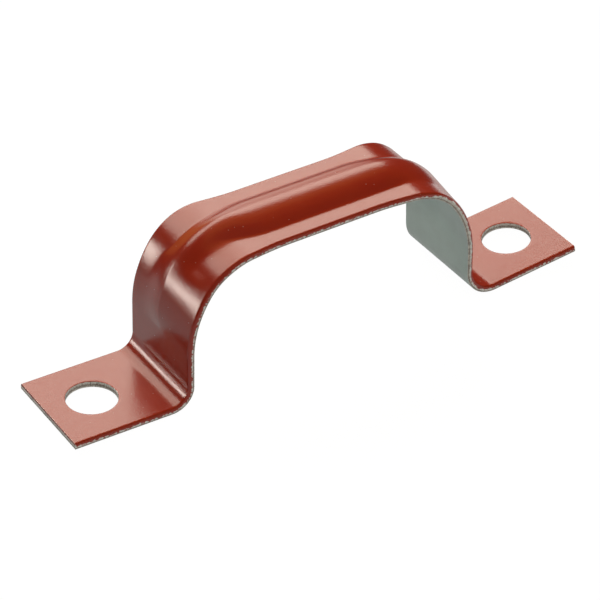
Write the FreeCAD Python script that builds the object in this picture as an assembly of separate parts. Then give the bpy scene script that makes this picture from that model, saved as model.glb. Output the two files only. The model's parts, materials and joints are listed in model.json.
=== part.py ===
import math
import os

import FreeCAD
import Part

# Conduit strap: one pressed strip, bent up into a flat-topped bridge between two drilled feet.
# Millimetres and degrees. X runs along the strap, Y across it and Z up.
# The origin is midway between the foot ends, on the plane that the heels stand on.

# Strip
strip_width = 15.0
sheet_thickness = 0.9
overall_length = 80.0

# Bridge, measured on the underside
clear_height = 19.7
clear_span = 43.3
bridge_shift = -0.5
upper_corner_radius = 8.0
lower_corner_radius = 15.0
upper_corner_turn = 55.0
leg_lean = 1.5

# Heels and feet, which spring up a little towards their ends
left_heel_radius = 2.4
right_heel_radius = 3.7
left_foot_rise = 1.7
right_foot_rise = 5.1

# Fixing holes
hole_diameter = 7.0
hole_edge_distance = 6.5

# Rib pressed up along the bridge, with its groove on the underside
rib_height = 1.6
rib_radius = 6.0
rib_root_depth = 0.3
rib_crest_radius = 12.0
rib_end_rise = 0.15
rib_stations = 9

# The rib draws the strip's long edges in where it stands at full height
neck_depth = 0.73
neck_half_length = 7.0
neck_ease_length = 9.5

# Spare length of the cutting bodies beyond the metal
tool_spare = 1.0

LEFT = -1
RIGHT = 1
LEG_HEADING = 90.0 - leg_lean


def sine(angle):
    return math.sin(math.radians(angle))


def cosine(angle):
    return math.cos(math.radians(angle))


def foot_rise(side):
    return left_foot_rise if side == LEFT else right_foot_rise


def heel_outer_radius(side):
    inner = left_heel_radius if side == LEFT else right_heel_radius
    return inner + sheet_thickness


# A station is a point of the underside and the heading of the strip there.
# Its first number is the distance out from the middle of the bridge, its second the height.
# Heading 0 runs straight out and heading 90 straight down.


def corner_station(heading):
    upper = min(heading, upper_corner_turn)
    out = upper_corner_radius * sine(upper)
    drop = upper_corner_radius * (1.0 - cosine(upper))
    out += lower_corner_radius * (sine(heading) - sine(upper))
    drop += lower_corner_radius * (cosine(upper) - cosine(heading))
    return flat_half_length() + out, clear_height - drop, heading


def flat_half_length():
    upper = upper_corner_radius * sine(upper_corner_turn)
    lower = lower_corner_radius * (sine(LEG_HEADING) - sine(upper_corner_turn))
    return clear_span / 2.0 - upper - lower


def leg_station(distance):
    out, height, heading = corner_station(LEG_HEADING)
    return out + distance * cosine(heading), height - distance * sine(heading), heading


def heel_station(side, heading):
    radius = heel_outer_radius(side)
    out, height, leg_heading = corner_station(LEG_HEADING)
    leg_length = (height - radius * (1.0 - cosine(leg_heading))) / sine(leg_heading)
    leg_foot = leg_station(leg_length)[0]
    centre = leg_foot + radius * sine(leg_heading)
    return centre - radius * sine(heading), radius * (1.0 - cosine(heading)), heading


def foot_station(side, from_end):
    rise = foot_rise(side)
    out, height, heading = heel_station(side, -rise)
    end_out = overall_length / 2.0 - side * bridge_shift
    end_height = height + (end_out - out) * sine(rise) / cosine(rise)
    return end_out - from_end * cosine(rise), end_height - from_end * sine(rise), -rise


def place(side, station, lift, across=0.0):
    out, height, heading = station
    x = bridge_shift + side * (out + lift * sine(heading))
    return FreeCAD.Vector(x, across, height + lift * cosine(heading))


def outward(side, station):
    return place(side, station, 1.0) - place(side, station, 0.0)


def bend(side, stations, lift):
    start, middle, end = [place(side, station, lift) for station in stations]
    return Part.Arc(start, middle, end).toShape()


def half_path(side, lift):
    turn = upper_corner_turn
    rise = foot_rise(side)
    upper = [corner_station(part * turn) for part in (0.0, 0.5, 1.0)]
    lower = [corner_station(part) for part in (turn, (turn + LEG_HEADING) / 2.0, LEG_HEADING)]
    heel = [heel_station(side, part) for part in (LEG_HEADING, (LEG_HEADING - rise) / 2.0, -rise)]
    leg = Part.makeLine(place(side, lower[2], lift), place(side, heel[0], lift))
    foot = Part.makeLine(place(side, heel[2], lift), place(side, foot_station(side, 0.0), lift))
    return [bend(side, upper, lift), bend(side, lower, lift), leg, bend(side, heel, lift), foot]


def strip_path(lift):
    left = half_path(LEFT, lift)
    right = half_path(RIGHT, lift)
    top = Part.makeLine(place(LEFT, corner_station(0.0), lift), place(RIGHT, corner_station(0.0), lift))
    return left[::-1] + [top] + right


def foot_end(side):
    end = foot_station(side, 0.0)
    return Part.makeLine(place(side, end, 0.0), place(side, end, sheet_thickness))


def bent_strip():
    edges = strip_path(0.0) + strip_path(sheet_thickness) + [foot_end(LEFT), foot_end(RIGHT)]
    face = Part.Face(Part.Wire(Part.__sortEdges__(edges)))
    face.translate(FreeCAD.Vector(0.0, -strip_width / 2.0, 0.0))
    return face.extrude(FreeCAD.Vector(0.0, strip_width, 0.0))


def neck_edge(side, sign):
    half = strip_width / 2.0
    steps = [
        (neck_half_length, half - neck_depth),
        (neck_half_length + neck_ease_length / 2.0, half - neck_depth / 2.0),
        (neck_half_length + neck_ease_length, half),
    ]
    points = [FreeCAD.Vector(bridge_shift + side * out, sign * across, 0.0) for out, across in steps]
    curve = Part.BSplineCurve()
    along = FreeCAD.Vector(side, 0.0, 0.0)
    curve.interpolate(Points=points, InitialTangent=along, FinalTangent=along)
    return curve.toShape()


def blank_outline():
    half_length = overall_length / 2.0 + tool_spare
    edges = []
    for sign in (-1.0, 1.0):
        left = neck_edge(LEFT, sign)
        right = neck_edge(RIGHT, sign)
        edges += [left, right]
        edges.append(Part.makeLine(left.Vertexes[0].Point, right.Vertexes[0].Point))
        for side, eased in ((LEFT, left), (RIGHT, right)):
            corner = FreeCAD.Vector(side * half_length, sign * strip_width / 2.0, 0.0)
            edges.append(Part.makeLine(eased.Vertexes[1].Point, corner))
    for side in (LEFT, RIGHT):
        low = FreeCAD.Vector(side * half_length, -strip_width / 2.0, 0.0)
        high = FreeCAD.Vector(side * half_length, strip_width / 2.0, 0.0)
        edges.append(Part.makeLine(low, high))
    face = Part.Face(Part.Wire(Part.__sortEdges__(edges)))
    face.translate(FreeCAD.Vector(0.0, 0.0, -tool_spare))
    return face.extrude(FreeCAD.Vector(0.0, 0.0, clear_height + 2.0 * tool_spare + sheet_thickness))


# The rib's crest follows one large arc over each corner and sinks into the leg at its end.


def crest_centre():
    out = corner_station(LEG_HEADING)[0] + sheet_thickness + rib_end_rise - rib_crest_radius
    return out, clear_height + sheet_thickness + rib_height - rib_crest_radius


def crest_height(station):
    out, height, heading = station
    centre_out, centre_height = crest_centre()
    surface_out = out + sheet_thickness * sine(heading)
    surface_height = height + sheet_thickness * cosine(heading)
    if surface_out <= centre_out:
        return rib_height
    gap_out = surface_out - centre_out
    gap_height = surface_height - centre_height
    along = gap_out * sine(heading) + gap_height * cosine(heading)
    square = gap_out ** 2 + gap_height ** 2
    return math.sqrt(along ** 2 - square + rib_crest_radius ** 2) - along


def root_half_width():
    centre_depth = rib_radius - rib_height - rib_root_depth
    return math.sqrt(rib_radius ** 2 - centre_depth ** 2)


def rib_section(side, station, thinner):
    # A circular segment that stands on the sheet. thinner moves it in to the groove's surface.
    rise = crest_height(station) + rib_root_depth
    radius = (root_half_width() ** 2 + rise ** 2) / (2.0 * rise) - thinner
    half_width = math.sqrt(2.0 * radius * rise - rise ** 2)
    root = sheet_thickness - rib_root_depth - thinner
    left = place(side, station, root, -half_width)
    right = place(side, station, root, half_width)
    crest = place(side, station, root + rise)
    return Part.Wire([Part.Arc(left, crest, right).toShape(), Part.makeLine(right, left)])


def run_out_stations():
    # From the flat top over the corner, and down the leg until the crest is under the surface
    start = crest_centre()[0] - rib_height
    out, height, heading = corner_station(0.0)
    stations = [(start, height, heading), (crest_centre()[0], height, heading)]
    if out > crest_centre()[0]:
        stations.append((out, height, heading))
    step = LEG_HEADING / rib_stations
    stations += [corner_station(step * (count + 1)) for count in range(rib_stations)]
    distance = 0.0
    while crest_height(stations[-1]) > -rib_root_depth / 2.0:
        distance += rib_root_depth
        last = leg_station(distance)
        if crest_height(last) <= -rib_root_depth / 2.0:
            stations.append(last)
            break
    return stations


def rib_body(thinner):
    stations = run_out_stations()
    length = FreeCAD.Vector(2.0 * stations[0][0], 0.0, 0.0)
    middle = Part.Face(rib_section(LEFT, stations[0], thinner)).extrude(length)
    ends = []
    for side in (LEFT, RIGHT):
        sections = [rib_section(side, station, thinner) for station in stations]
        ends.append(Part.makeLoft(sections, True, False))
    return middle.fuse(ends)


def fixing_hole(side):
    station = foot_station(side, hole_edge_distance)
    axis = outward(side, station)
    start = place(side, station, -tool_spare)
    return Part.makeCylinder(hole_diameter / 2.0, sheet_thickness + 2.0 * tool_spare, start, axis)


def conduit_strap():
    strip = bent_strip().common(blank_outline())
    strip = strip.fuse(rib_body(0.0)).cut(rib_body(sheet_thickness))
    strip = strip.cut([fixing_hole(LEFT), fixing_hole(RIGHT)])
    return strip.removeSplitter()


os.makedirs("parts", exist_ok=True)
strap = conduit_strap()
if strap.ShapeType != "Solid":
    strap = strap.Solids[0]
strap.exportStep("parts/strap.step")
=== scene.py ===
import json
import math

import bmesh
import bpy
from mathutils import Matrix, Quaternion, Vector


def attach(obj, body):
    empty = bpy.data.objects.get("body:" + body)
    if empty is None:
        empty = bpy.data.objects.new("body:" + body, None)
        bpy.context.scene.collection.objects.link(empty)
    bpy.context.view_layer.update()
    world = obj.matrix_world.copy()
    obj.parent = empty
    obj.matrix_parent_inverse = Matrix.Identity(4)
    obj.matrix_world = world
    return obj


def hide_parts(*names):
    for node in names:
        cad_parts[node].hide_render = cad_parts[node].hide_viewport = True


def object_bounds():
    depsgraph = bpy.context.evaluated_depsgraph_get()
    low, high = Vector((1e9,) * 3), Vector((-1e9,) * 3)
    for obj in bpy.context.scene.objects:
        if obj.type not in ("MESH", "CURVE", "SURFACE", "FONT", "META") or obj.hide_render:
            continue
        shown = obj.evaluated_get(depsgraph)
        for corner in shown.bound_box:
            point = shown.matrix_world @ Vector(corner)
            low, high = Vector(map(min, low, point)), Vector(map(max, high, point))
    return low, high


bl_info = {
    "name": "Conduit strap",
    "version": (1, 0, 0),
    "blender": (4, 5, 0),
    "location": "3D View > Sidebar > Strap",
    "description": "Pressed and coated strap with a ribbed bridge, and the studio it stands in",
    "category": "Add Mesh",
}

# The frame gives the sizes that the strap shares with its solid. Everything is in metres.

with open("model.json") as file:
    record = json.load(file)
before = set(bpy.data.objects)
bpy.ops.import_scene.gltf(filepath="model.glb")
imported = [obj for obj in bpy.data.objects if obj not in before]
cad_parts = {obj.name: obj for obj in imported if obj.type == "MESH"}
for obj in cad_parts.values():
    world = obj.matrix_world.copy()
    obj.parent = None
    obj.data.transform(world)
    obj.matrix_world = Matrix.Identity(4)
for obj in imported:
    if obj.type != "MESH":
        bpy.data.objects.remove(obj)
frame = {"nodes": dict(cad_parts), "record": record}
CAD_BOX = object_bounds()
MOUNTS = {mount["name"]: mount for mount in frame["record"]["mounts"]}
MM = 0.001

LEFT = -1
RIGHT = 1
HOLES = {LEFT: MOUNTS["left_hole"], RIGHT: MOUNTS["right_hole"]}

TOPCOAT, BACK_COAT, CUT_EDGE = range(3)

# First and last heading, in degrees, of the turns over which the pressing changes
RIGHT_LEG_ROLL_TURN = (10.0, 35.0)
RIB_WIDENING_TURN = (38.0, 66.0)
NEAR_CREASE_TURN = (0.0, 15.0)
FAR_CREASE_TURN = (48.0, 72.0)
NEAR_RUN_OUT_TURN = (42.0, 58.0)

# The rib starts to draw in before the corner, this many times its narrowing run
NARROWING_LEAD = 1.6
# The far crease opens down the corner by this many near crease radii
FAR_CREASE_OPENING = 2.5
# A crease closes where the crest is lower than this share of the rib's height
CREASE_CLOSING = 0.4
# Share of its softness that a crease lowers the rib by
CREASE_SINK = 0.25

# Steps along each stretch of half the strap, from the middle of the bridge to the foot's end
TOP_STEPS = 28
CORNER_STEPS = 74
LEG_STEPS = 14
HEEL_STEPS = 44
FOOT_STEPS = 6
PATCH_STEPS = 24
END_STEPS = 5

# Rings of points round a hole: on its patch as shares of the way from the rim to the border,
# over the rolled rim in degrees of turn, and down the wall as shares of its height
HOLE_RINGS = (0.75, 0.5, 0.28, 0.12, 0.0)
RIM_TURNS = (30.0, 60.0, 90.0)
WALL_RINGS = (0.66, 0.33)

# Allowance for rounding when the rows of a patch are picked by their distance
PATCH_SLACK = 0.01 * MM
# A point a little way round a ring, which tells the two ways round it apart
MATCH_POINT = 3
# Faces that meet at more than this angle, in degrees, keep a sharp edge
SHARP_ANGLE = 60.0


def sine(angle):
    return math.sin(math.radians(angle))


def cosine(angle):
    return math.cos(math.radians(angle))


def ease(value, start, end):
    """Smooth step from 0 at the start to 1 at the end."""
    part = min(max((value - start) / (end - start), 0.0), 1.0)
    return part * part * (3.0 - 2.0 * part)


def foot_rise(side):
    axis = HOLES[side]["axis"]
    return math.degrees(math.atan2(abs(axis[0]), axis[2]))


class StrapShape(bpy.types.PropertyGroup):
    upper_corner_radius: bpy.props.FloatProperty(
        name="Upper corner radius",
        description="Underside radius of the corner next to the flat top",
        default=8.0 * MM,
        unit="LENGTH",
    )
    lower_corner_radius: bpy.props.FloatProperty(
        name="Lower corner radius",
        description="Underside radius of the corner next to the leg",
        default=15.0 * MM,
        unit="LENGTH",
    )
    upper_corner_turn: bpy.props.FloatProperty(
        name="Upper corner turn",
        description="Degrees turned by the upper radius before the lower one takes over",
        default=55.0,
    )
    leg_lean: bpy.props.FloatProperty(
        name="Leg lean", description="Degrees that each leg leans outward going down", default=1.5
    )
    clear_span: bpy.props.FloatProperty(
        name="Clear span",
        description="Distance between the tops of the two legs",
        default=43.3 * MM,
        unit="LENGTH",
    )
    left_heel_radius: bpy.props.FloatProperty(
        name="Left heel radius",
        description="Inner radius of the left heel",
        default=2.4 * MM,
        unit="LENGTH",
    )
    right_heel_radius: bpy.props.FloatProperty(
        name="Right heel radius",
        description="Inner radius of the right heel",
        default=3.7 * MM,
        unit="LENGTH",
    )
    rib_height: bpy.props.FloatProperty(
        name="Rib height",
        description="Height of the rib over the flat top",
        default=1.6 * MM,
        unit="LENGTH",
    )
    rib_radius: bpy.props.FloatProperty(
        name="Rib radius",
        description="Radius of the rib across the strap",
        default=6.0 * MM,
        unit="LENGTH",
    )
    rib_narrowing: bpy.props.FloatProperty(
        name="Rib narrowing",
        description="How far each side of the rib draws in round the corners",
        default=1.15 * MM,
        unit="LENGTH",
    )
    rib_narrowing_run: bpy.props.FloatProperty(
        name="Rib narrowing run",
        description="How far past the start of the corner the rib has drawn in fully",
        default=2.8 * MM,
        unit="LENGTH",
    )
    rib_crest_radius: bpy.props.FloatProperty(
        name="Rib crest radius",
        description="Radius that the crest follows over each corner",
        default=12.0 * MM,
        unit="LENGTH",
    )
    rib_end_rise: bpy.props.FloatProperty(
        name="Rib end rise",
        description="How far the crest stands out beyond the leg",
        default=0.15 * MM,
        unit="LENGTH",
    )
    ridge_roundness: bpy.props.FloatProperty(
        name="Ridge roundness",
        description="Roundness of the rib's ridge round the corners, as a share of its half width",
        default=0.62,
        subtype="FACTOR",
    )
    crease_radius: bpy.props.FloatProperty(
        name="Crease radius",
        description="Softness of the far crease beside the rib",
        default=0.08 * MM,
        unit="LENGTH",
    )
    near_crease_radius: bpy.props.FloatProperty(
        name="Near crease radius",
        description="Softness of the near crease, which the press has struck less sharply",
        default=0.14 * MM,
        unit="LENGTH",
    )
    neck_depth: bpy.props.FloatProperty(
        name="Neck depth",
        description="How far the rib draws each long edge in",
        default=0.73 * MM,
        unit="LENGTH",
    )
    neck_half_length: bpy.props.FloatProperty(
        name="Neck half length",
        description="Half the length of the full neck",
        default=7.0 * MM,
        unit="LENGTH",
    )
    neck_ease_length: bpy.props.FloatProperty(
        name="Neck ease length",
        description="Length over which the edge comes back out",
        default=9.5 * MM,
        unit="LENGTH",
    )
    bridge_roll: bpy.props.FloatVectorProperty(
        name="Bridge edge roll",
        description="Width and depth of the band that rolls down to the cut along the bridge",
        size=2,
        default=(0.32 * MM, 0.68 * MM),
        unit="LENGTH",
    )
    right_leg_roll: bpy.props.FloatVectorProperty(
        name="Right leg edge roll",
        description="Width and depth of the same band down the right leg",
        size=2,
        default=(0.2 * MM, 0.38 * MM),
        unit="LENGTH",
    )
    foot_roll: bpy.props.FloatVectorProperty(
        name="Foot edge roll",
        description="Width and depth of the same band along the feet",
        size=2,
        default=(0.26 * MM, 0.66 * MM),
        unit="LENGTH",
    )
    break_depth: bpy.props.FloatProperty(
        name="Fracture taper",
        description="How far the lower half of the cut falls back",
        default=0.05 * MM,
        unit="LENGTH",
    )
    rim_roll: bpy.props.FloatProperty(
        name="Hole rim roll",
        description="Rounding of the punched holes' upper rim",
        default=0.06 * MM,
        unit="LENGTH",
    )


class StrapFinish(bpy.types.PropertyGroup):
    topcoat: bpy.props.FloatVectorProperty(
        name="Topcoat",
        description="Gloss red-brown coat of the upper side",
        subtype="COLOR",
        default=(0.385, 0.0245, 0.0062),
    )
    topcoat_roughness: bpy.props.FloatProperty(
        name="Topcoat roughness",
        description="Blur of the topcoat's reflections",
        default=0.21,
        subtype="FACTOR",
    )
    back_coat: bpy.props.FloatVectorProperty(
        name="Back coat",
        description="Satin grey-green coat of the underside",
        subtype="COLOR",
        default=(0.70, 0.90, 0.91),
    )
    bare_metal: bpy.props.FloatVectorProperty(
        name="Bare metal",
        description="Sheared sheet at the cut edges",
        subtype="COLOR",
        default=(0.76, 0.76, 0.72),
    )


class StudioSettings(bpy.types.PropertyGroup):
    azimuth: bpy.props.FloatProperty(
        name="Camera azimuth", description="Degrees round the strap, 0 looks along +Y", default=-32.6755
    )
    elevation: bpy.props.FloatProperty(
        name="Camera elevation", description="Degrees above the horizon", default=36.2154
    )
    roll: bpy.props.FloatProperty(name="Camera roll", description="Degrees", default=0.1757)
    lens: bpy.props.FloatProperty(name="Lens", description="Focal length in millimetres", default=154.343)
    distance: bpy.props.FloatProperty(
        name="Camera distance", description="From the aim point", default=0.338297, unit="LENGTH"
    )
    aim: bpy.props.FloatVectorProperty(
        name="Aim point",
        description="Where the middle of the picture lies",
        default=(-0.005449, -0.006562, 0.010),
        subtype="XYZ_LENGTH",
    )
    lamp_distance: bpy.props.FloatProperty(
        name="Lamp distance", description="From the aim point to each lamp", default=1.0, unit="LENGTH"
    )
    light_tint: bpy.props.FloatVectorProperty(
        name="Light tint",
        description="Warm white of the lamps",
        subtype="COLOR",
        default=(1.0, 0.895, 0.76),
    )


# Path of the strip. A station is a point of the underside and the heading of the strip there.
# Its first number is the distance out from the middle of the bridge, its second the height.
# Heading 0 runs straight out and heading 90 straight down.


class Strip:
    """Path of the strip and the forms pressed into it, from the frame and the sizes that a user sets."""

    def __init__(self, shape):
        self.shape = shape
        seat = MOUNTS["conduit_seat"]["pos_m"]
        low, high = CAD_BOX
        self.thickness = HOLES[LEFT]["dims"]["length_mm"] * MM
        self.half_width = (high.y - low.y) / 2.0
        self.half_length = (high.x - low.x) / 2.0
        self.clear_height = seat[2]
        self.shift = seat[0]
        self.leg_heading = 90.0 - shape.leg_lean
        upper = shape.upper_corner_radius * sine(shape.upper_corner_turn)
        lower = shape.lower_corner_radius * (sine(self.leg_heading) - sine(shape.upper_corner_turn))
        self.flat_half = shape.clear_span / 2.0 - upper - lower

    def corner(self, heading):
        shape = self.shape
        upper = min(heading, shape.upper_corner_turn)
        out = shape.upper_corner_radius * sine(upper)
        drop = shape.upper_corner_radius * (1.0 - cosine(upper))
        out += shape.lower_corner_radius * (sine(heading) - sine(upper))
        drop += shape.lower_corner_radius * (cosine(upper) - cosine(heading))
        return self.flat_half + out, self.clear_height - drop, heading

    def heel_radius(self, side):
        inner = self.shape.left_heel_radius if side == LEFT else self.shape.right_heel_radius
        return inner + self.thickness

    def leg_length(self, side):
        height = self.corner(self.leg_heading)[1]
        return (height - self.heel_radius(side) * (1.0 - cosine(self.leg_heading))) / sine(self.leg_heading)

    def leg(self, distance):
        out, height, heading = self.corner(self.leg_heading)
        return out + distance * cosine(heading), height - distance * sine(heading), heading

    def heel(self, side, heading):
        radius = self.heel_radius(side)
        centre = self.leg(self.leg_length(side))[0] + radius * sine(self.leg_heading)
        return centre - radius * sine(heading), radius * (1.0 - cosine(heading)), heading

    def foot(self, side, from_end):
        rise = foot_rise(side)
        out, height, heading = self.heel(side, -rise)
        end_out = self.half_length - side * self.shift
        end_height = height + (end_out - out) * sine(rise) / cosine(rise)
        return end_out - from_end * cosine(rise), end_height - from_end * sine(rise), -rise

    def place(self, side, station, lift, across):
        out, height, heading = station
        x = self.shift + side * (out + lift * sine(heading))
        return Vector((x, across, height + lift * cosine(heading)))

    def half_width_at(self, station):
        """Half the strip's width, which the rib draws in where it stands at full height."""
        shape = self.shape
        full = shape.neck_half_length
        necked = 1.0 - ease(station[0], full, full + shape.neck_ease_length)
        return self.half_width - shape.neck_depth * necked

    def edge_roll(self, side, station):
        """Width and depth of the rolled band. It is slight on the right leg, which is cut cleanest."""
        shape = self.shape
        out, height, heading = station
        roll = Vector(shape.bridge_roll)
        if side == RIGHT:
            roll = roll.lerp(Vector(shape.right_leg_roll), ease(heading, *RIGHT_LEG_ROLL_TURN))
        low = 1.0 if heading < 0.0 else ease(height, 0.5 * self.clear_height, 0.0)
        return roll.lerp(Vector(shape.foot_roll), low)

    def crest(self, station):
        """Height of the rib's crest over the sheet. It sinks into the leg on one arc."""
        shape = self.shape
        out, height, heading = station
        leg_out = self.corner(self.leg_heading)[0] + self.thickness
        centre_out = leg_out + shape.rib_end_rise - shape.rib_crest_radius
        centre_height = self.clear_height + self.thickness + shape.rib_height - shape.rib_crest_radius
        gap_out = out + self.thickness * sine(heading) - centre_out
        gap_height = height + self.thickness * cosine(heading) - centre_height
        if gap_out <= 0.0:
            return shape.rib_height
        along = gap_out * sine(heading) + gap_height * cosine(heading)
        inside = along ** 2 - gap_out ** 2 - gap_height ** 2 + shape.rib_crest_radius ** 2
        if inside < 0.0:
            return 0.0
        return max(math.sqrt(inside) - along, 0.0)

    def full_reach(self):
        """Half the width of the rib at the surface, where it has its full arc."""
        shape = self.shape
        return math.sqrt(2.0 * shape.rib_radius * shape.rib_height - shape.rib_height ** 2)

    def rib_reach(self, side, station, across):
        """Half the rib's width at the surface. It draws in round the corners and widens on the legs."""
        out, height, heading = station
        narrow = self.shape.rib_narrowing * (1.0 - ease(heading, *RIB_WIDENING_TURN))
        return self.full_reach() - narrow * self.drawn_in(side, out, across)

    def drawn_in(self, side, out, across):
        """How far the rib has changed from its full arc to its narrow, steeper form at the corner.

        The near side of the right corner keeps the full arc.
        """
        if side == RIGHT and across < 0.0:
            return 0.0
        run = self.shape.rib_narrowing_run
        return ease(out, self.flat_half - NARROWING_LEAD * run, self.flat_half + run)

    def ridge(self, crest, part):
        """Height of the steeper form at a share of its half width."""
        roundness = self.shape.ridge_roundness
        fall = (math.hypot(part, roundness) - roundness) / (math.hypot(1.0, roundness) - roundness)
        return crest * (1.0 - fall)

    def crease_softness(self, heading, crest, across):
        """Radius of the crease at the rib's foot. It opens down the corner and closes with the rib."""
        shape = self.shape
        near = ease(-across, 0.0, 0.5 * shape.rib_radius)
        near_soft = shape.near_crease_radius * (1.0 + ease(heading, *NEAR_CREASE_TURN))
        opening = FAR_CREASE_OPENING * shape.near_crease_radius * ease(heading, *FAR_CREASE_TURN)
        far_soft = shape.crease_radius + opening
        closing = ease(crest, 0.0, CREASE_CLOSING * shape.rib_height)
        return (far_soft + (near_soft - far_soft) * near) * closing

    def swell(self, side, station, across, inward):
        """Height of the rib over the sheet's surface.

        Inward is 0 for its outer face and the sheet's thickness for its groove. On the near side it
        spreads, down the corner, into a plain slope to the strip's long edge.
        """
        out, height, heading = station
        crest = self.crest(station)
        if crest <= 0.0:
            return 0.0
        reach = self.rib_reach(side, station, across)
        radius = (reach ** 2 + crest ** 2) / (2.0 * crest)
        bump = math.sqrt(max((radius - inward) ** 2 - across ** 2, 0.0)) - (radius - crest) + inward
        bump += (self.ridge(crest, across / reach) - bump) * self.drawn_in(side, out, across)
        soft = self.crease_softness(heading, crest, across)
        bump -= CREASE_SINK * soft
        pressed = 0.5 * (bump + math.hypot(bump, soft))
        if across > 0.0:
            return pressed
        slope = crest * (1.0 + across / self.half_width)
        return pressed + (slope - pressed) * ease(heading, *NEAR_RUN_OUT_TURN)

    def crease(self, inward):
        """Half the width of the rib, or of its groove, where the mesh keeps a line of points."""
        return self.full_reach() * (self.shape.rib_radius - inward) / self.shape.rib_radius


def steps(start, end, count):
    """Evenly spaced values from the start up to the end, which is left out."""
    return [start + (end - start) * step / count for step in range(count)]


class StrapMesh:
    """Sections of the strip, one closed loop of points per station, joined into one closed mesh."""

    # Cells across each flange, the rib, each rolled band and each cut, and beside a hole's patch
    FLANGE_CELLS = 16
    RIB_CELLS = 36
    ROLL_CELLS = 6
    CUT_CELLS = 5
    MARGIN_CELLS = 8

    def __init__(self, strip):
        self.strip = strip
        self.bm = bmesh.new()
        self.uv = self.bm.loops.layers.uv.new("Run")
        self.gap = self.bm.verts.layers.float.new("edge_gap")
        self.level = self.bm.verts.layers.float.new("cut_level")
        self.runs = {}

    def vert(self, point, run, around, gap, lift):
        vert = self.bm.verts.new(point)
        vert[self.gap] = gap / MM
        vert[self.level] = lift / self.strip.thickness
        self.runs[vert] = (run / MM, around / MM)
        return vert

    def face(self, verts, material):
        face = self.bm.faces.new(verts)
        face.material_index = material
        face.smooth = True
        for loop in face.loops:
            loop[self.uv].uv = self.runs[loop.vert]
        return face

    def columns(self, skin, crease):
        """Places across the strip between its two rolled bands, with one on each crease."""
        right = steps(crease, skin, self.FLANGE_CELLS) + [skin]
        return [-across for across in reversed(right)] + steps(-crease, crease, self.RIB_CELLS)[1:] + right

    def section(self, side, station):
        """The loop's points as (across, lift), and the material of the stretch after each."""
        strip, shape = self.strip, self.strip.shape
        half = strip.half_width_at(station)
        sheet = strip.thickness
        roll_width, roll_depth = strip.edge_roll(side, station)
        roll = [90.0 * (step + 1) / self.ROLL_CELLS for step in range(self.ROLL_CELLS)]
        arc = [
            (half - roll_width * (1.0 - sine(turn)), sheet - roll_depth * (1.0 - cosine(turn)))
            for turn in roll
        ]
        cut_top = sheet - roll_depth
        cut = [(half - shape.break_depth * max(0.0, 2.0 * part - 1.0), cut_top * (1.0 - part))
               for part in ((step + 1) / self.CUT_CELLS for step in range(self.CUT_CELLS))]
        upper = [(across, sheet + strip.swell(side, station, across, 0.0))
                 for across in self.columns(half - roll_width, strip.crease(0.0))]
        under = [(across, strip.swell(side, station, across, sheet))
                 for across in reversed(self.columns(half - roll_width, strip.crease(sheet)))]
        near = [(-across, lift) for across, lift in reversed(arc + cut)]
        points = upper + arc + cut + under + near
        kinds = [TOPCOAT] * (len(upper) + self.ROLL_CELLS - 1) + [CUT_EDGE] * self.CUT_CELLS
        kinds += [BACK_COAT] * (len(under) + 1) + [CUT_EDGE] * self.CUT_CELLS + [TOPCOAT] * self.ROLL_CELLS
        return points, kinds

    def add_section(self, side, station, run, from_end):
        """One loop of points, each with its places along and round the strip and its gap to a cut."""
        points, kinds = self.section(side, station)
        half = self.strip.half_width_at(station)
        loop = []
        around = 0.0
        for index, (across, lift) in enumerate(points):
            before = points[index - 1] if index else points[0]
            around += math.hypot(across - before[0], lift - before[1])
            gap = min(half - abs(across), from_end)
            loop.append(self.vert(self.strip.place(side, station, lift, across), run, around, gap, lift))
        return loop, kinds

    def join(self, first, second, kinds, hole_cells=()):
        """Faces between two loops, with a material for each cell. The hole's cells stay open."""
        count = len(first)
        for index in range(count):
            if index in hole_cells:
                continue
            after = (index + 1) % count
            self.face((first[index], first[after], second[after], second[index]), kinds[index])

    def cap(self, loop, flip):
        """The sheared end of a foot, flat and with sharp borders."""
        face = self.face(loop[::-1] if flip else loop, CUT_EDGE)
        face.smooth = False

    def patch_cells(self):
        """Cells of one loop that the hole's patch replaces, on the upper side and on the underside."""
        columns = 2 * self.FLANGE_CELLS + self.RIB_CELLS + 1
        upper = range(self.MARGIN_CELLS, columns - 1 - self.MARGIN_CELLS)
        start = columns + self.ROLL_CELLS + self.CUT_CELLS
        under = range(start + self.MARGIN_CELLS, start + columns - 1 - self.MARGIN_CELLS)
        return upper, under


def stations(strip, side):
    """Stations from the middle of the bridge to the foot's end, each with its distance to that end.

    Those that aren't on the foot count as endlessly far from it.
    """
    hole = hole_from_end(strip, side)
    reach = patch_reach(strip)
    far = math.inf
    heel_turn = steps(strip.leg_heading, -foot_rise(side), HEEL_STEPS)
    found = [((out, strip.clear_height, 0.0), far) for out in steps(0.0, strip.flat_half, TOP_STEPS)]
    found += [(strip.corner(heading), far) for heading in steps(0.0, strip.leg_heading, CORNER_STEPS)]
    found += [(strip.leg(distance), far) for distance in steps(0.0, strip.leg_length(side), LEG_STEPS)]
    found += [(strip.heel(side, heading), far) for heading in heel_turn]
    distances = steps(foot_length(strip, side), hole + reach, FOOT_STEPS)
    distances += steps(hole + reach, hole - reach, PATCH_STEPS)
    distances += steps(hole - reach, 0.0, END_STEPS) + [0.0]
    found += [(strip.foot(side, distance), distance) for distance in distances]
    return found


def foot_length(strip, side):
    """From the end of the heel to the strap's end, along the foot."""
    heel_out = strip.heel(side, -foot_rise(side))[0]
    return (strip.foot(side, 0.0)[0] - heel_out) / cosine(foot_rise(side))


def hole_from_end(strip, side):
    """Distance of the hole's middle from the foot's end, along the foot."""
    rise = foot_rise(side)
    out = side * (HOLES[side]["pos_m"][0] - strip.shift) + strip.thickness / 2.0 * sine(rise)
    return (strip.foot(side, 0.0)[0] - out) / cosine(rise)


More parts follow.
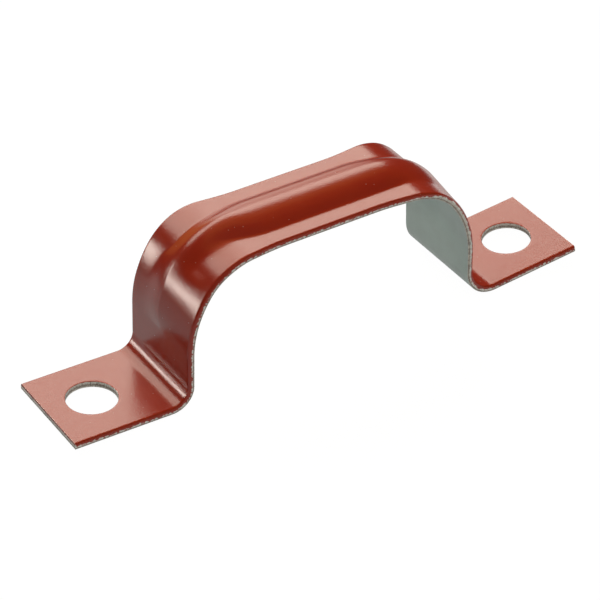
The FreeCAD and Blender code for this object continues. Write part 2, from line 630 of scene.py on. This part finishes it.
def patch_reach(strip):
    """Half the side of the square patch round a hole: the middle of the metal beside it."""
    return (strip.half_width + HOLES[LEFT]["dims"]["r_mm"] * MM) / 2.0


def punch_hole(mesh, side, rows, under):
    """Fills the square patch with rings of faces that run from its border to the hole's rim."""
    strip = mesh.strip
    hole = hole_from_end(strip, side)
    radius = HOLES[side]["dims"]["r_mm"] * MM
    upper_cells, under_cells = mesh.patch_cells()
    cells = under_cells if under else upper_cells
    first, last = cells[0], cells[-1] + 1
    border = [rows[0][column] for column in range(first, last)]
    border += [row[last] for row in rows[:-1]]
    border += [rows[-1][column] for column in range(last, first, -1)]
    border += [row[first] for row in reversed(rows[1:])]
    centre = strip.place(side, strip.foot(side, hole), 0.0, 0.0)
    along = (strip.place(side, strip.foot(side, 0.0), 0.0, 0.0) - centre).normalized()
    rays = []
    for vert in border:
        toward_end = (vert.co - centre).dot(along)
        length = math.hypot(toward_end, vert.co.y)
        rays.append((toward_end / length, vert.co.y / length, length))
    roll = strip.shape.rim_roll
    lift = 0.0 if under else strip.thickness
    rim = radius if under else radius + roll
    kind = BACK_COAT if under else TOPCOAT
    rings = [
        [ring_vert(mesh, side, ray, rim + (ray[2] - rim) * part, lift) for ray in rays]
        for part in HOLE_RINGS
    ]
    if not under:
        for turn in RIM_TURNS:
            distance = rim - roll * sine(turn)
            height = lift - roll * (1.0 - cosine(turn))
            rings.append([ring_vert(mesh, side, ray, distance, height) for ray in rays])
    outer = border
    for ring in rings:
        mesh.join(outer, ring, [kind] * len(ring))
        outer = ring
    return rings[-1]


def ring_vert(mesh, side, ray, distance, lift):
    """A point round the hole, on a ray whose first two numbers are its parts along and across."""
    strip = mesh.strip
    radius = HOLES[side]["dims"]["r_mm"] * MM
    toward_end, sideways = ray[:2]
    station = strip.foot(side, hole_from_end(strip, side) - distance * toward_end)
    point = strip.place(side, station, lift, distance * sideways)
    turn = math.atan2(sideways, toward_end)
    return mesh.vert(point, radius * turn, lift, distance - radius, 0.5 * lift)


def line_wall(mesh, side, top, bottom):
    """The hole's wall, from its upper ring down to its lower one."""
    strip = mesh.strip
    radius = HOLES[side]["dims"]["r_mm"] * MM
    outer = top
    for part in WALL_RINGS:
        lift = (strip.thickness - strip.shape.rim_roll) * part
        turns = [mesh.runs[vert][0] * MM / radius for vert in top]
        ring = [ring_vert(mesh, side, (math.cos(turn), math.sin(turn)), radius, lift) for turn in turns]
        mesh.join(outer, ring, [CUT_EDGE] * len(ring))
        outer = ring
    mesh.join(outer, bottom, [CUT_EDGE] * len(bottom))


def build_strap(shape):
    """The whole skin, one half after the other from the middle of the bridge, as one object."""
    strip = Strip(shape)
    mesh = StrapMesh(strip)
    upper_cells, under_cells = mesh.patch_cells()
    hole_cells = set(upper_cells) | set(under_cells)
    middle = None
    for side in (LEFT, RIGHT):
        rows = []
        run = 0.0
        before = None
        for station, from_end in stations(strip, side):
            if before is not None:
                run += math.hypot(station[0] - before[0], station[1] - before[1])
            before = station
            if middle is not None and not rows:
                rows.append((middle, from_end))
                continue
            loop, kinds = mesh.add_section(side, station, side * run, from_end)
            rows.append((loop, from_end))
            middle = middle or loop
        hole, reach = hole_from_end(strip, side), patch_reach(strip)
        patch = [loop for loop, from_end in rows if abs(from_end - hole) < reach + PATCH_SLACK]
        for (first, start), (second, end) in zip(rows, rows[1:]):
            inside = abs((start + end) / 2.0 - hole) < reach
            pair = (second, first) if side == LEFT else (first, second)
            mesh.join(pair[0], pair[1], kinds, hole_cells if inside else ())
        mesh.cap(rows[-1][0], side == RIGHT)
        top = punch_hole(mesh, side, patch, False)
        bottom = punch_hole(mesh, side, patch, True)
        line_wall(mesh, side, top, match_ring(top, bottom))
    bmesh.ops.recalc_face_normals(mesh.bm, faces=mesh.bm.faces)
    data = bpy.data.meshes.new("strap_skin")
    mesh.bm.to_mesh(data)
    mesh.bm.free()
    data.set_sharp_from_angle(angle=math.radians(SHARP_ANGLE))
    return bpy.data.objects.new("strap_skin", data)


def match_ring(top, bottom):
    """Turns the lower ring so that its points stand under those of the upper one."""
    count = len(top)
    near = min(range(count), key=lambda index: (bottom[index].co - top[0].co).length)
    forward = bottom[near:] + bottom[:near]
    backward = [bottom[(near - index) % count] for index in range(count)]
    return min(forward, backward, key=lambda ring: (ring[MATCH_POINT].co - top[MATCH_POINT].co).length)


# Finishes

DUST_COLOUR = (0.62, 0.42, 0.36)
MARK_COLOUR = (0.1, 0.12, 0.11)
BREAK_COLOUR = (0.14, 0.075, 0.055)
WORN_METALLIC = 0.8
COAT_RELIEF = 0.03 * MM
CUT_RELIEF = 0.04 * MM


def add_node(tree, kind, settings=None, **inputs):
    """Adds a node, sets its own settings, then sets or links its inputs by name."""
    node = tree.nodes.new(kind)
    for name, value in (settings or {}).items():
        setattr(node, name, value)
    for name, value in inputs.items():
        socket = find_input(node, name)
        if isinstance(value, bpy.types.NodeSocket):
            tree.links.new(value, socket)
        else:
            socket.default_value = value
    return node


def find_input(node, name):
    wanted = name.replace("_", " ").lower()
    for socket in node.inputs:
        if socket.enabled and socket.name.lower() == wanted:
            return socket
    if name.startswith("slot"):
        return node.inputs[int(name[4:])]
    raise RuntimeError(f"{node.name} has no input {name}")


def math_node(tree, operation, first, second=0.0, third=0.0, clamp=False):
    settings = {"operation": operation, "use_clamp": clamp}
    return add_node(tree, "ShaderNodeMath", settings, slot0=first, slot1=second, slot2=third).outputs[0]


def mix_colour(tree, factor, first, second):
    settings = {"data_type": "RGBA"}
    node = add_node(tree, "ShaderNodeMix", settings, slot0=factor, slot6=first, slot7=second)
    return node.outputs[2]


def ramp(tree, value, low, high, to_low=0.0, to_high=1.0):
    node = add_node(
        tree, "ShaderNodeMapRange", {"interpolation_type": "SMOOTHSTEP"},
        Value=value, From_Min=low, From_Max=high, To_Min=to_low, To_Max=to_high,
    )
    return node.outputs[0]


def noise(tree, where, scale, detail=2.0, roughness=0.5):
    values = {"Vector": where, "Scale": scale, "Detail": detail, "Roughness": roughness}
    return add_node(tree, "ShaderNodeTexNoise", None, **values).outputs[0]


def new_group(name, inputs, outputs):
    """A shader node group with the given inputs as (name, kind, default) and outputs as (name, kind)."""
    tree = bpy.data.node_groups.new(name, "ShaderNodeTree")
    for label, kind, default in inputs:
        socket = tree.interface.new_socket(label, in_out="INPUT", socket_type=kind)
        socket.default_value = default
    for label, kind in outputs:
        tree.interface.new_socket(label, in_out="OUTPUT", socket_type=kind)
    return tree, tree.nodes.new("NodeGroupInput").outputs, tree.nodes.new("NodeGroupOutput").inputs


FLOAT = "NodeSocketFloat"
COLOUR = "NodeSocketColor"
VECTOR = "NodeSocketVector"


def coat_variation_group():
    """Slow drift in a coat's colour: thinner and lighter in some places, deeper in others."""
    tree, given, result = new_group(
        "Coat variation",
        [
            ("Colour", COLOUR, (1, 1, 1, 1)),
            ("Thin Colour", COLOUR, (1, 1, 1, 1)),
            ("Amount", FLOAT, 0.2),
            ("Scale", FLOAT, 200.0),
        ],
        [("Colour", COLOUR)],
    )
    where = add_node(tree, "ShaderNodeTexCoord").outputs["Object"]
    drift = ramp(tree, noise(tree, where, given["Scale"], 3.0), 0.35, 0.75)
    share = math_node(tree, "MULTIPLY", drift, given["Amount"], clamp=True)
    tree.links.new(mix_colour(tree, share, given["Colour"], given["Thin Colour"]), result["Colour"])
    return tree


def coat_texture_group():
    """Height of a sprayed coat: fine grain on a slow ripple."""
    tree, given, result = new_group(
        "Coat texture",
        [
            ("Grain Scale", FLOAT, 5000.0),
            ("Grain", FLOAT, 0.5),
            ("Ripple Scale", FLOAT, 500.0),
            ("Ripple", FLOAT, 0.5),
        ],
        [("Height", FLOAT)],
    )
    where = add_node(tree, "ShaderNodeTexCoord").outputs["Object"]
    grain = math_node(tree, "MULTIPLY", noise(tree, where, given["Grain Scale"], 2.0), given["Grain"])
    ripple = noise(tree, where, given["Ripple Scale"], 1.0)
    height = math_node(tree, "MULTIPLY_ADD", ripple, given["Ripple"], grain)
    tree.links.new(height, result["Height"])
    return tree


def coat_blur_group():
    """Roughness of a coat, which wanders between a low and a high value."""
    tree, given, result = new_group(
        "Coat blur",
        [("Scale", FLOAT, 800.0), ("Low", FLOAT, 0.2), ("High", FLOAT, 0.3)],
        [("Roughness", FLOAT)],
    )
    where = add_node(tree, "ShaderNodeTexCoord").outputs["Object"]
    drift = noise(tree, where, given["Scale"], 3.0)
    tree.links.new(ramp(tree, drift, 0.3, 0.8, given["Low"], given["High"]), result["Roughness"])
    return tree


def edge_wear_group():
    """Mask of the bare metal where a coat has chipped off along a cut edge."""
    tree, given, result = new_group(
        "Edge wear",
        [("Reach", FLOAT, 0.1), ("Raggedness", FLOAT, 0.2), ("Scale", FLOAT, 2000.0)],
        [("Mask", FLOAT)],
    )
    where = add_node(tree, "ShaderNodeTexCoord").outputs["Object"]
    gap = add_node(tree, "ShaderNodeAttribute", {"attribute_name": "edge_gap"}).outputs["Fac"]
    rough = math_node(tree, "SUBTRACT", noise(tree, where, given["Scale"], 4.0, 0.7), 0.5)
    line = math_node(tree, "MULTIPLY_ADD", rough, given["Raggedness"], given["Reach"])
    chipped = math_node(tree, "SUBTRACT", line, gap)
    tree.links.new(ramp(tree, chipped, 0.0, 0.02), result["Mask"])
    return tree


def dust_group():
    """Mask of small scattered specks."""
    tree, given, result = new_group(
        "Dust",
        [("Scale", FLOAT, 700.0), ("Size", FLOAT, 0.1), ("Share", FLOAT, 0.2)],
        [("Mask", FLOAT)],
    )
    where = add_node(tree, "ShaderNodeTexCoord").outputs["Object"]
    cells = add_node(tree, "ShaderNodeTexVoronoi", None, Vector=where, Scale=given["Scale"])
    draw = add_node(tree, "ShaderNodeSeparateColor", None, Color=cells.outputs["Color"]).outputs[0]
    chosen = math_node(tree, "LESS_THAN", draw, given["Share"])
    near = math_node(tree, "SUBTRACT", given["Size"], cells.outputs["Distance"])
    spot = ramp(tree, near, 0.0, 0.03)
    tree.links.new(math_node(tree, "MULTIPLY", chosen, spot), result["Mask"])
    return tree


def shear_lines_group():
    """Fine scratches drawn through the thickness, the ragged break line and the coat over the top."""
    tree, given, result = new_group(
        "Shear lines",
        [
            ("Line Scale", FLOAT, 6.0),
            ("Break Height", FLOAT, 0.3),
            ("Break Width", FLOAT, 0.08),
            ("Raggedness", FLOAT, 0.3),
        ],
        [("Lines", FLOAT), ("Break", FLOAT), ("Overlap", FLOAT)],
    )
    run = add_node(tree, "ShaderNodeUVMap", {"uv_map": "Run"}).outputs["UV"]
    drawn = add_node(tree, "ShaderNodeMapping", None, Vector=run, Scale=(1.0, 0.2, 1.0)).outputs[0]
    tree.links.new(noise(tree, drawn, given["Line Scale"], 4.0, 0.7), result["Lines"])
    level = add_node(tree, "ShaderNodeAttribute", {"attribute_name": "cut_level"}).outputs["Fac"]
    rough = math_node(tree, "SUBTRACT", noise(tree, run, 6.0, 4.0, 0.8), 0.5)
    middle = math_node(tree, "MULTIPLY_ADD", rough, given["Raggedness"], given["Break Height"])
    off = math_node(tree, "ABSOLUTE", math_node(tree, "SUBTRACT", level, middle))
    near = math_node(tree, "SUBTRACT", given["Break Width"], off)
    tree.links.new(ramp(tree, near, -0.04, 0.04), result["Break"])
    brim = math_node(tree, "MULTIPLY_ADD", rough, 0.4, level)
    tree.links.new(ramp(tree, brim, 0.58, 0.64), result["Overlap"])
    return tree


def rgba(colour, gain=1.0):
    return tuple(part * gain for part in colour) + (1.0,)


def new_material(name):
    material = bpy.data.materials.new(name)
    material.use_nodes = True
    return material, material.node_tree, material.node_tree.nodes["Principled BSDF"]


def place_group(tree, group, **inputs):
    return add_node(tree, "ShaderNodeGroup", {"node_tree": group}, **inputs).outputs


def finish_surface(tree, shader, colour, blur, metal, bump):
    """Feeds the shader, with the bump given as its height, strength and distance in metres."""
    height, strength, distance = bump
    normal = add_node(tree, "ShaderNodeBump", None, Strength=strength, Distance=distance, Height=height)
    tree.links.new(colour, shader.inputs["Base Color"])
    tree.links.new(blur, shader.inputs["Roughness"])
    tree.links.new(metal, shader.inputs["Metallic"])
    tree.links.new(normal.outputs[0], shader.inputs["Normal"])


def topcoat_material(finish, groups):
    material, tree, shader = new_material("Red-brown gloss topcoat")
    shader.inputs["IOR"].default_value = 1.5
    red, green, blue = finish.topcoat
    deep = rgba(finish.topcoat)
    thin = rgba((red * 1.12, green * 1.7, blue * 1.1))
    colour = place_group(
        tree, groups["variation"], Colour=deep, Thin_Colour=thin, Amount=0.22, Scale=260.0)["Colour"]
    dust = place_group(tree, groups["dust"], Scale=1100.0, Size=0.07, Share=0.6)["Mask"]
    worn = place_group(tree, groups["wear"], Reach=0.02, Raggedness=0.16, Scale=2600.0)["Mask"]
    height = place_group(
        tree, groups["texture"], Grain_Scale=4600.0, Grain=1.0, Ripple_Scale=420.0, Ripple=1.2)["Height"]
    low, high = finish.topcoat_roughness - 0.015, finish.topcoat_roughness + 0.02
    blur = place_group(tree, groups["blur"], Scale=900.0, Low=low, High=high)["Roughness"]
    colour = mix_colour(tree, math_node(tree, "MULTIPLY", dust, 0.7), colour, rgba(DUST_COLOUR))
    colour = mix_colour(tree, worn, colour, rgba(finish.bare_metal))
    dull = math_node(tree, "MULTIPLY", math_node(tree, "MAXIMUM", dust, worn), 0.3)
    blur = math_node(tree, "ADD", blur, dull)
    metal = math_node(tree, "MULTIPLY", worn, WORN_METALLIC)
    height = math_node(tree, "MULTIPLY_ADD", dust, 1.5, height)
    finish_surface(tree, shader, colour, blur, metal, (height, 0.5, COAT_RELIEF))
    return material


def back_coat_material(finish, groups):
    material, tree, shader = new_material("Grey-green satin back coat")
    shader.inputs["IOR"].default_value = 1.65
    base = rgba(finish.back_coat)
    thin = rgba(finish.back_coat, 0.88)
    colour = place_group(
        tree, groups["variation"], Colour=base, Thin_Colour=thin, Amount=0.6, Scale=330.0)["Colour"]
    marks = place_group(tree, groups["dust"], Scale=300.0, Size=0.03, Share=0.05)["Mask"]
    worn = place_group(tree, groups["wear"], Reach=0.05, Raggedness=0.22, Scale=2200.0)["Mask"]
    height = place_group(
        tree, groups["texture"], Grain_Scale=4200.0, Grain=0.5, Ripple_Scale=160.0, Ripple=0.8)["Height"]
    blur = place_group(tree, groups["blur"], Scale=700.0, Low=0.34, High=0.42)["Roughness"]
    colour = mix_colour(tree, math_node(tree, "MULTIPLY", marks, 0.3), colour, rgba(MARK_COLOUR))
    colour = mix_colour(tree, worn, colour, rgba(finish.bare_metal))
    metal = math_node(tree, "MULTIPLY", worn, WORN_METALLIC)
    finish_surface(tree, shader, colour, blur, metal, (height, 0.15, COAT_RELIEF))
    return material


def cut_edge_material(finish, groups):
    material, tree, shader = new_material("Bare sheared edge")
    cut = place_group(
        tree, groups["shear"], Line_Scale=4.5, Break_Height=0.2, Break_Width=0.07, Raggedness=0.8)
    scratched = ramp(tree, cut["Lines"], 0.48, 0.66)
    colour = mix_colour(tree, scratched, rgba(finish.bare_metal), rgba(finish.bare_metal, 0.38))
    torn = math_node(tree, "MULTIPLY", cut["Break"], 0.85)
    colour = mix_colour(tree, torn, colour, rgba(BREAK_COLOUR))
    colour = mix_colour(tree, cut["Overlap"], colour, rgba(finish.topcoat, 0.7))
    blur = ramp(tree, cut["Lines"], 0.3, 0.8, 0.38, 0.55)
    metal = ramp(tree, cut["Break"], 0.0, 1.0, 0.22, 0.0)
    finish_surface(tree, shader, colour, blur, metal, (cut["Lines"], 0.5, CUT_RELIEF))
    return material


# Studio

FLOOR_HALF = 1.5
PAPER_TONES = ((0.23, 0.23, 0.23, 1), (0.26, 0.26, 0.26, 1))
# Colour of the painted floor reflection, an emission that only mirrored rays see
PAINTED_REFLECTION_COLOUR = (0.8, 0.81, 0.78, 1)
SENSOR_WIDTH = 36.0

# Lamps: name, then azimuth, elevation, width and height in degrees, then radiance
BACK_LAMP = ("Back soft box", 8.0, 38.9, 62.0, 22.5, 4.95)
BACK_LAMP_LEAN = 4.0
FILL_LAMPS = (
    ("Overhead fill", 0.0, 90.0, 48.0, 48.0, 0.55, "ELLIPSE"),
    ("Front fill", 180.0, 36.0, 76.0, 48.0, 0.95),
)
SIDE_LAMPS = (
    ("Side soft box", -45.5, 7.5, 13.0, 13.0, 14.0),
    ("Low side soft box", -66.5, 4.5, 29.0, 8.4, 16.5),
)
SIDE_LAMP_COLOUR = (1.0, 0.93, 0.83)

# Bright areas of the dome: azimuth, elevation, half width, half height and softness in degrees, then level
LAMP_GAP = (21.0, 12.0, 9.0, 16.0, 8.0, 1.9)
CEILING_EDGE = (0.0, 58.0, 42.0, 14.0, 12.0, 0.2)
WARM_WALLS = (
    (18.0, 60.0, 44.0, 13.0, 18.0, 0.8),
    (0.0, 80.0, 95.0, 12.0, 14.0, 0.7),
    (0.0, 8.0, 13.0, 14.0, 10.0, 0.75),
    (150.0, 18.0, 32.0, 22.0, 16.0, 0.2),
)
ROOM_LEVEL = 0.07
WARM_COLOUR = (1.0, 0.45, 0.08, 1)


def soft_box(studio, name, azimuth, elevation, width, height, radiance, shape="RECTANGLE", lean=0.0):
    """A lamp panel that faces the aim point, with its sizes in degrees as seen from there.

    Lean lifts its left end, in degrees.
    """
    level = cosine(elevation)
    towards = Vector((sine(azimuth) * level, cosine(azimuth) * level, sine(elevation)))
    data = bpy.data.lights.new(name, "AREA")
    data.shape = shape
    data.size = 2.0 * studio.lamp_distance * math.tan(math.radians(width / 2.0))
    data.size_y = 2.0 * studio.lamp_distance * math.tan(math.radians(height / 2.0))
    area = data.size * data.size_y * (math.pi / 4.0 if shape == "ELLIPSE" else 1.0)
    data.color = studio.light_tint
    data.energy = radiance * math.pi * area
    light = bpy.data.objects.new(name, data)
    light.location = Vector(studio.aim) + towards * studio.lamp_distance
    light.rotation_mode = "QUATERNION"
    light.rotation_quaternion = towards.to_track_quat("Z", "Y") @ Quaternion((0, 0, 1), math.radians(lean))
    bpy.context.scene.collection.objects.link(light)
    return light


def white_for_camera(tree, shader_socket, output_socket, strength, share=1.0):
    """Shows a white emission to camera rays over the given shader."""
    white = add_node(tree, "ShaderNodeEmission", None, Color=(1, 1, 1, 1), Strength=strength).outputs[0]
    path = add_node(tree, "ShaderNodeLightPath").outputs
    factor = math_node(tree, "MULTIPLY", path["Is Camera Ray"], share)
    mixed = add_node(tree, "ShaderNodeMixShader", None, slot0=factor, slot1=shader_socket, slot2=white)
    tree.links.new(mixed.outputs[0], output_socket)


def painted_floor_reflection(tree, where, shader_socket, colour):
    """Painted reflection: an emission that only mirrored rays see, a cool pale floor that glows near the
    strap, brighter on its right and dark behind it.
    """
    parts = add_node(tree, "ShaderNodeSeparateXYZ", None, Vector=where).outputs
    distance = add_node(tree, "ShaderNodeVectorMath", {"operation": "LENGTH"}, slot0=where).outputs["Value"]
    near = ramp(tree, distance, low=0.07, high=0.12, to_low=0.85, to_high=0.08)
    right = ramp(tree, parts["X"], low=0.045, high=0.075, to_low=0.0, to_high=1.7)
    behind = ramp(tree, parts["Y"], low=0.055, high=0.085, to_low=1.0, to_high=0.05)
    level = math_node(tree, "MULTIPLY", math_node(tree, "MAXIMUM", near, right), behind)
    pale = add_node(tree, "ShaderNodeEmission", None, Color=colour, Strength=level).outputs[0]
    path = add_node(tree, "ShaderNodeLightPath").outputs
    mixed = add_node(
        tree, "ShaderNodeMixShader", None, slot0=path["Is Glossy Ray"], slot1=shader_socket, slot2=pale)
    return mixed.outputs[0]


def clear_from_below(tree, output_socket):
    """Lets rays that come from under the floor pass through it, so that the underside can be seen."""
    behind = add_node(tree, "ShaderNodeNewGeometry").outputs["Backfacing"]
    clear = add_node(tree, "ShaderNodeBsdfTransparent").outputs[0]
    seen = output_socket.links[0].from_socket
    mixed = add_node(tree, "ShaderNodeMixShader", None, slot0=behind, slot1=seen, slot2=clear)
    tree.links.new(mixed.outputs[0], output_socket)


def floor_object():
    """Sheet of white paper that keeps the strap's faint shadow."""
    data = bpy.data.meshes.new("floor")
    half = FLOOR_HALF
    corners = [(-half, -half, 0.0), (half, -half, 0.0), (half, half, 0.0), (-half, half, 0.0)]
    data.from_pydata(corners, [], [(0, 1, 2, 3)])
    floor = bpy.data.objects.new("floor", data)
    bpy.context.scene.collection.objects.link(floor)
    material, tree, shader = new_material("White paper floor")
    where = add_node(tree, "ShaderNodeTexCoord").outputs["Object"]
    paper = noise(tree, where, 40.0, 3.0)
    tone = mix_colour(tree, paper, *PAPER_TONES)
    tree.links.new(tone, shader.inputs["Base Color"])
    shader.inputs["Roughness"].default_value = 0.9
    shader.inputs["Specular IOR Level"].default_value = 0.1
    output = tree.nodes["Material Output"].inputs["Surface"]
    # Painted reflection: mirrored rays see the floor glow pale near the strap
    pale = painted_floor_reflection(tree, where, shader.outputs[0], PAINTED_REFLECTION_COLOUR)
    white_for_camera(tree, pale, output, strength=1.2, share=0.82)
    clear_from_below(tree, output)
    data.materials.append(material)
    return floor


def window_group():
    """Level of a bright area of the dome, given by its middle and half sizes in degrees."""
    tree, given, result = new_group(
        "Dome window",
        [
            ("Direction", VECTOR, (0, 0, 1)),
            ("Azimuth", FLOAT, 0.0),
            ("Elevation", FLOAT, 0.0),
            ("Half Width", FLOAT, 30.0),
            ("Half Height", FLOAT, 20.0),
            ("Softness", FLOAT, 8.0),
            ("Level", FLOAT, 1.0),
        ],
        [("Level", FLOAT)],
    )
    parts = add_node(tree, "ShaderNodeSeparateXYZ", None, Vector=given["Direction"]).outputs
    heading = math_node(tree, "DEGREES", math_node(tree, "ARCTAN2", parts["X"], parts["Y"]))
    rise = math_node(tree, "DEGREES", math_node(tree, "ARCSINE", parts["Z"]))
    turned = math_node(tree, "WRAP", math_node(tree, "SUBTRACT", heading, given["Azimuth"]), 180.0, -180.0)
    beside = math_node(tree, "SUBTRACT", given["Half Width"], math_node(tree, "ABSOLUTE", turned))
    off = math_node(tree, "ABSOLUTE", math_node(tree, "SUBTRACT", rise, given["Elevation"]))
    above = math_node(tree, "SUBTRACT", given["Half Height"], off)
    half_soft = math_node(tree, "MULTIPLY", given["Softness"], 0.5)
    outside = math_node(tree, "MULTIPLY", half_soft, -1.0)
    wide = ramp(tree, beside, outside, half_soft)
    tall = ramp(tree, above, outside, half_soft)
    inside = math_node(tree, "MULTIPLY", wide, tall)
    tree.links.new(math_node(tree, "MULTIPLY", inside, given["Level"]), result["Level"])
    return tree


def studio_world(studio):
    """Dark room with a pale ceiling edge and a bright gap beside the back lamp, all white to the camera.

    Mirrored rays also see warm walls in it.
    """
    world = bpy.data.worlds.new("Studio")
    world.use_nodes = True
    tree = world.node_tree
    dome = tree.nodes["Background"]
    towards = add_node(tree, "ShaderNodeTexCoord").outputs["Generated"]
    window = window_group()

    def bright_area(azimuth, elevation, half_width, half_height, softness, level):
        return place_group(
            tree, window, Direction=towards, Azimuth=azimuth, Elevation=elevation, Half_Width=half_width,
            Half_Height=half_height, Softness=softness, Level=level)["Level"]

    gap, ceiling = [bright_area(*area) for area in (LAMP_GAP, CEILING_EDGE)]
    level = math_node(tree, "ADD", math_node(tree, "ADD", gap, ceiling), ROOM_LEVEL)
    dome.inputs["Color"].default_value = rgba(studio.light_tint)
    tree.links.new(level, dome.inputs["Strength"])
    walls = 0.0
    for area in WARM_WALLS:
        walls = math_node(tree, "MAXIMUM", walls, bright_area(*area))
    mirrored = add_node(tree, "ShaderNodeLightPath").outputs["Is Glossy Ray"]
    walls = math_node(tree, "MULTIPLY", mirrored, walls)
    warm = add_node(tree, "ShaderNodeBackground", None, Color=WARM_COLOUR, Strength=walls).outputs[0]
    both = add_node(tree, "ShaderNodeAddShader", None, slot0=dome.outputs[0], slot1=warm)
    white_for_camera(tree, both.outputs[0], tree.nodes["World Output"].inputs["Surface"], strength=1.0)
    bpy.context.scene.world = world


def studio_camera(studio):
    """Camera that looks at the aim point, turned about its own axis by the roll."""
    azimuth, elevation = studio.azimuth, studio.elevation
    level = cosine(elevation)
    forward = Vector((-sine(azimuth) * level, cosine(azimuth) * level, -sine(elevation)))
    right = forward.cross(Vector((0, 0, 1))).normalized()
    up = right.cross(forward)
    turned_right = cosine(studio.roll) * right + sine(studio.roll) * up
    turned_up = cosine(studio.roll) * up - sine(studio.roll) * right
    data = bpy.data.cameras.new("Camera")
    data.sensor_width = SENSOR_WIDTH
    data.lens = studio.lens
    camera = bpy.data.objects.new("Camera", data)
    axes = Matrix((turned_right, turned_up, -forward)).transposed()
    place = Vector(studio.aim) - forward * studio.distance
    camera.matrix_world = Matrix.Translation(place) @ axes.to_4x4()
    bpy.context.scene.collection.objects.link(camera)
    bpy.context.scene.camera = camera


# Operators and panel


class STRAP_OT_add_strap(bpy.types.Operator):
    """Build the coated strap in the place of its plain solid"""

    bl_idname = "strap.add_strap"
    bl_label = "Add Strap"

    def execute(self, context):
        if "strap" not in frame["nodes"]:
            raise RuntimeError("the frame has no strap to stand for")
        finish = context.scene.strap_finish
        groups = {
            "variation": coat_variation_group(),
            "texture": coat_texture_group(),
            "blur": coat_blur_group(),
            "wear": edge_wear_group(),
            "dust": dust_group(),
            "shear": shear_lines_group(),
        }
        strap = build_strap(context.scene.strap_shape)
        context.scene.collection.objects.link(strap)
        strap.data.materials.append(topcoat_material(finish, groups))
        strap.data.materials.append(back_coat_material(finish, groups))
        strap.data.materials.append(cut_edge_material(finish, groups))
        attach(strap, "root")
        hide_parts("strap")
        return {"FINISHED"}


class STRAP_OT_add_studio(bpy.types.Operator):
    """Set up the floor, the lamps, the dome and the camera"""

    bl_idname = "strap.add_studio"
    bl_label = "Add Studio"

    def execute(self, context):
        studio = context.scene.strap_studio
        floor_object()
        studio_world(studio)
        soft_box(studio, *BACK_LAMP, lean=BACK_LAMP_LEAN)
        for lamp in FILL_LAMPS:
            soft_box(studio, *lamp).visible_glossy = False
        for lamp in SIDE_LAMPS:
            light = soft_box(studio, *lamp)
            light.visible_diffuse = False
            light.data.color = SIDE_LAMP_COLOUR
        studio_camera(studio)
        context.scene.view_settings.view_transform = "Standard"
        return {"FINISHED"}


class STRAP_PT_panel(bpy.types.Panel):
    bl_label = "Conduit Strap"
    bl_idname = "STRAP_PT_panel"
    bl_space_type = "VIEW_3D"
    bl_region_type = "UI"
    bl_category = "Strap"

    def draw(self, context):
        layout = self.layout
        for settings in (context.scene.strap_shape, context.scene.strap_finish, context.scene.strap_studio):
            for name in settings.__annotations__:
                layout.prop(settings, name)
        for operator in (STRAP_OT_add_strap, STRAP_OT_add_studio):
            layout.operator(operator.bl_idname)


CLASSES = (StrapShape, StrapFinish, StudioSettings, STRAP_OT_add_strap, STRAP_OT_add_studio, STRAP_PT_panel)


def register():
    for kind in CLASSES:
        bpy.utils.register_class(kind)
    bpy.types.Scene.strap_shape = bpy.props.PointerProperty(type=StrapShape)
    bpy.types.Scene.strap_finish = bpy.props.PointerProperty(type=StrapFinish)
    bpy.types.Scene.strap_studio = bpy.props.PointerProperty(type=StudioSettings)


def unregister():
    del bpy.types.Scene.strap_shape
    del bpy.types.Scene.strap_finish
    del bpy.types.Scene.strap_studio
    for kind in reversed(CLASSES):
        bpy.utils.unregister_class(kind)


def main():
    register()
    bpy.ops.strap.add_strap()
    bpy.ops.strap.add_studio()


if __name__ == "__main__":
    main()
